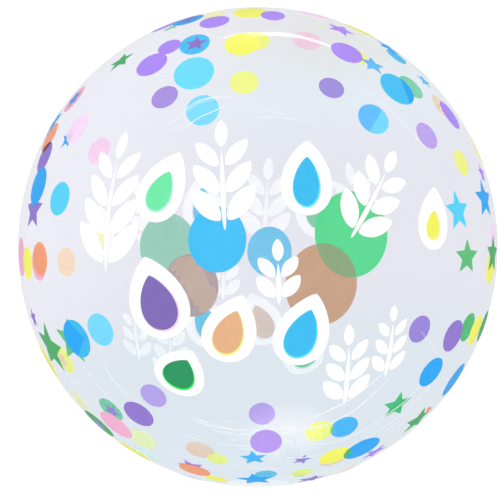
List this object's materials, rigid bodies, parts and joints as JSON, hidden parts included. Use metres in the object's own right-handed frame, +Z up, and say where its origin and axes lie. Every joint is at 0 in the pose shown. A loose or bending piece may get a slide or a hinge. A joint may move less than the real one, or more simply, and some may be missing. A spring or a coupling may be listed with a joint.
{
  "type": "clear bubble balloon",
  "caption": "Round inflated balloon of clear stretch film with a short flat filling neck and a printed pattern of dots, stars and brush strokes.",
  "frame": {"origin": "middle of the flat spot that the balloon rests on, straight under the centre of the globe", "axes": "+Z up, -Y towards the printed face that the picture shows, +X to its right; the neck leans back and down"},
  "size_m": [0.5596, 0.5595, 0.5569],
  "materials": {
    "clear_film": "clear gloss film",
    "white_ink": "printed, opaque",
    "green_ink": "printed, translucent",
    "blue_ink": "printed, translucent",
    "violet_ink": "printed, translucent",
    "yellow_ink": "printed, translucent",
    "orange_ink": "printed, translucent",
    "pink_ink": "printed, translucent",
    "tan_ink": "printed, translucent"
  },
  "bodies": {
    "root": {"film_balloon": "clear_film"}
  },
  "joints": []
}
